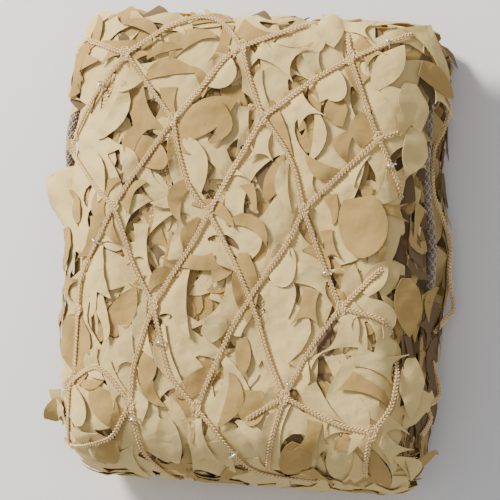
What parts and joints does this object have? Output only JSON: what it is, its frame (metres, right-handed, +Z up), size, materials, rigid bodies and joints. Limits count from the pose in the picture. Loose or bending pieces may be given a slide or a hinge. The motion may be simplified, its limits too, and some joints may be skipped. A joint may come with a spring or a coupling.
{
  "type": "camouflage netting",
  "caption": "Length of leaf-cut camouflage netting folded back and forth into a bundle, with a diamond cord net over its outside, edge rope in its folds and steel hog rings.",
  "frame": {"origin": "middle of the underside, where the bundle rests", "axes": "+Z up out of the bundle's face, +Y towards its far end, +X to its right side, where the folds are open"},
  "size_m": [0.3338, 0.3892, 0.1216],
  "materials": {
    "garnish": "matt woven polyester, sand face and tan reverse",
    "net_cord": "chain-stitched cord, dry",
    "edge_rope": "braided rope, dry",
    "ring_steel": "bright zinc-plated wire"
  },
  "bodies": {
    "root": {"garnish_cloth": "garnish", "net_face": "net_cord", "net_loop_right": "net_cord", "net_loop_low": "net_cord", "edge_rope_left": "edge_rope", "edge_rope_right": "edge_rope", "hog_ring_01": "ring_steel", "hog_ring_02": "ring_steel", "hog_ring_03": "ring_steel", "hog_ring_04": "ring_steel", "hog_ring_05": "ring_steel", "hog_ring_06": "ring_steel", "hog_ring_07": "ring_steel", "hog_ring_08": "ring_steel", "hog_ring_09": "ring_steel"}
  },
  "joints": []
}
